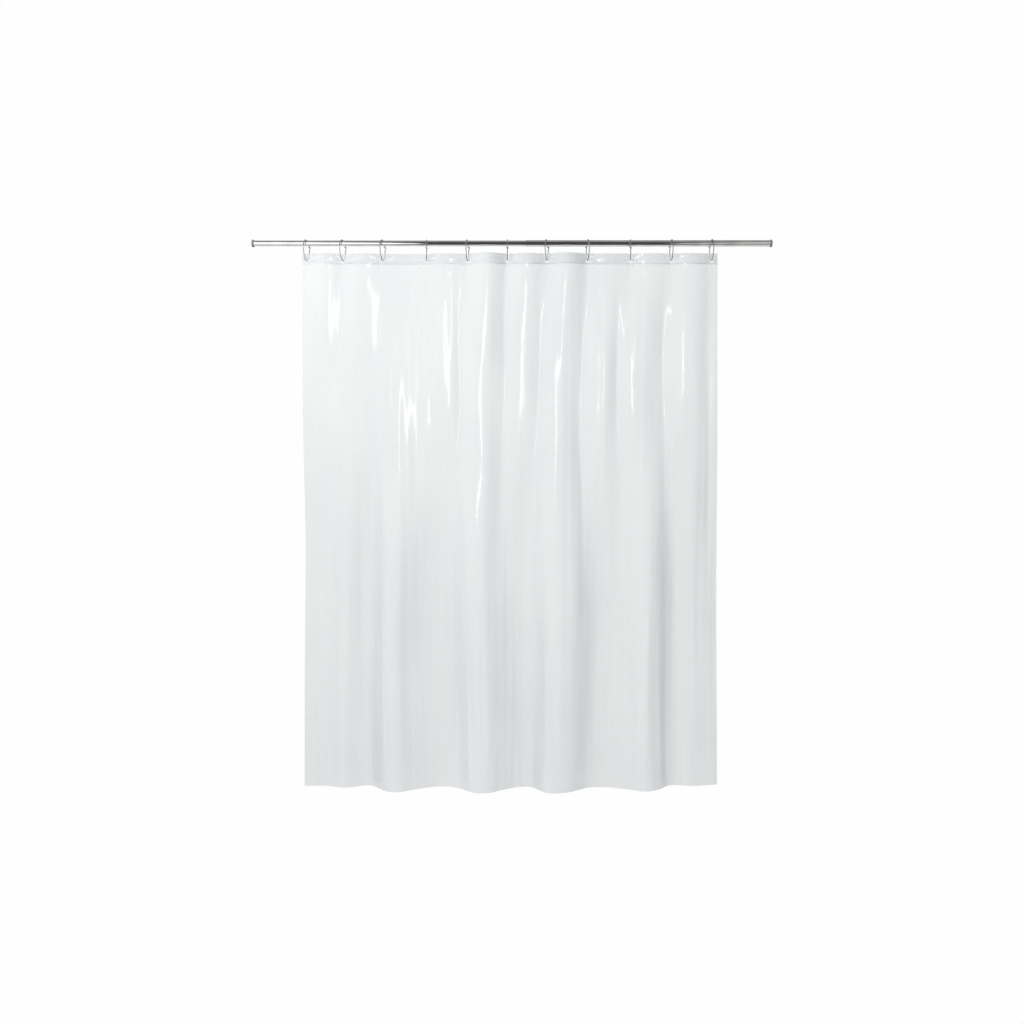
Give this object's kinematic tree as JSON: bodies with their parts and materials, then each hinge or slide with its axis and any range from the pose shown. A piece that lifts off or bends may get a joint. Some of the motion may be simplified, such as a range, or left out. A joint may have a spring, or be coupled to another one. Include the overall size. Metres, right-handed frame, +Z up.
{
  "type": "shower curtain",
  "caption": "See-through film shower curtain gathered on pear-shaped wire rings over a telescopic chromed tension rod.",
  "frame": {"origin": "centre of the left wall pad's outer face", "axes": "+X along the rod to the right wall, -Y towards the person facing the curtain, +Z up"},
  "size_m": [1.775, 0.0979, 1.8783],
  "materials": {
    "rod_chrome": "bright chrome plate on steel tube",
    "ring_wire": "bright nickel-plated steel wire",
    "cap_plastic": "moulded pale grey plastic",
    "pad_rubber": "moulded soft grey rubber",
    "lock_nylon": "moulded natural nylon",
    "lock_steel": "zinc-plated steel",
    "clear_film": "frosted clear glossy plastic film",
    "doubled_film": "two layers of the clear film welded together"
  },
  "bodies": {
    "rod_inner": {"inner_tube": "rod_chrome", "end_cap_left": "cap_plastic", "wall_pad_left": "pad_rubber", "lock_bushing": "lock_nylon", "lock_screw": "lock_steel", "tension_spring": "lock_steel"},
    "lock_plug": {"grip_plug": "lock_nylon"},
    "rod_outer": {"outer_tube": "rod_chrome", "end_cap_right": "cap_plastic", "wall_pad_right": "pad_rubber"},
    "curtain": {"film_sheet": "clear_film", "header_strip": "doubled_film"},
    "ring_01": {"ring_01": "ring_wire"},
    "ring_02": {"ring_02": "ring_wire"},
    "ring_03": {"ring_03": "ring_wire"},
    "ring_04": {"ring_04": "ring_wire"},
    "ring_05": {"ring_05": "ring_wire"},
    "ring_06": {"ring_06": "ring_wire"},
    "ring_07": {"ring_07": "ring_wire"},
    "ring_08": {"ring_08": "ring_wire"},
    "ring_09": {"ring_09": "ring_wire"},
    "ring_10": {"ring_10": "ring_wire"},
    "ring_11": {"ring_11": "ring_wire"}
  },
  "joints": [
    {"name": "rod_twist", "type": "hinge", "parent": "rod_inner", "child": "lock_plug", "pos_m": [0, 0, 0], "axis": [1, 0, 0], "range_deg": [0, 180]},
    {"name": "rod_extend", "type": "slide", "parent": "lock_plug", "child": "rod_outer", "axis": [1, 0, 0], "range_m": [-0.14, 0.12]},
    {"name": "curtain_swing", "type": "hinge", "parent": "rod_inner", "child": "curtain", "pos_m": [0, 0, 0], "axis": [1, 0, 0], "range_deg": [-15, 15]},
    {"name": "ring_01_slide", "type": "slide", "parent": "curtain", "child": "ring_01", "axis": [-1, 0, 0], "range_m": [0, 0.104]},
    {"name": "ring_02_slide", "type": "slide", "parent": "curtain", "child": "ring_02", "axis": [-1, 0, 0], "range_m": [0, 0.184]},
    {"name": "ring_03_slide", "type": "slide", "parent": "curtain", "child": "ring_03", "axis": [-1, 0, 0], "range_m": [0, 0.273]},
    {"name": "ring_04_slide", "type": "slide", "parent": "curtain", "child": "ring_04", "axis": [-1, 0, 0], "range_m": [0, 0.37]},
    {"name": "ring_05_slide", "type": "slide", "parent": "curtain", "child": "ring_05", "axis": [-1, 0, 0], "range_m": [0, 0.461]},
    {"name": "ring_06_slide", "type": "slide", "parent": "curtain", "child": "ring_06", "axis": [-1, 0, 0], "range_m": [0, 0.549]},
    {"name": "ring_07_slide", "type": "slide", "parent": "curtain", "child": "ring_07", "axis": [-1, 0, 0], "range_m": [0, 0.636]},
    {"name": "ring_08_slide", "type": "slide", "parent": "curtain", "child": "ring_08", "axis": [-1, 0, 0], "range_m": [0, 0.728]},
    {"name": "ring_09_slide", "type": "slide", "parent": "curtain", "child": "ring_09", "axis": [-1, 0, 0], "range_m": [0, 0.822]},
    {"name": "ring_10_slide", "type": "slide", "parent": "curtain", "child": "ring_10", "axis": [-1, 0, 0], "range_m": [0, 0.913]},
    {"name": "curtain_draw", "type": "slide", "parent": "curtain", "child": "ring_11", "axis": [-1, 0, 0], "range_m": [0, 1], "deforming": ["header_strip", "film_sheet"]}
  ],
  "couplings": [
    {"joint": "ring_01_slide", "follows": "curtain_draw", "ratio": 0.1024},
    {"joint": "ring_02_slide", "follows": "curtain_draw", "ratio": 0.18244},
    {"joint": "ring_03_slide", "follows": "curtain_draw", "ratio": 0.2709},
    {"joint": "ring_04_slide", "follows": "curtain_draw", "ratio": 0.36844},
    {"joint": "ring_05_slide", "follows": "curtain_draw", "ratio": 0.45885},
    {"joint": "ring_06_slide", "follows": "curtain_draw", "ratio": 0.54731},
    {"joint": "ring_07_slide", "follows": "curtain_draw", "ratio": 0.63448},
    {"joint": "ring_08_slide", "follows": "curtain_draw", "ratio": 0.72553},
    {"joint": "ring_09_slide", "follows": "curtain_draw", "ratio": 0.82048},
    {"joint": "ring_10_slide", "follows": "curtain_draw", "ratio": 0.91089}
  ]
}
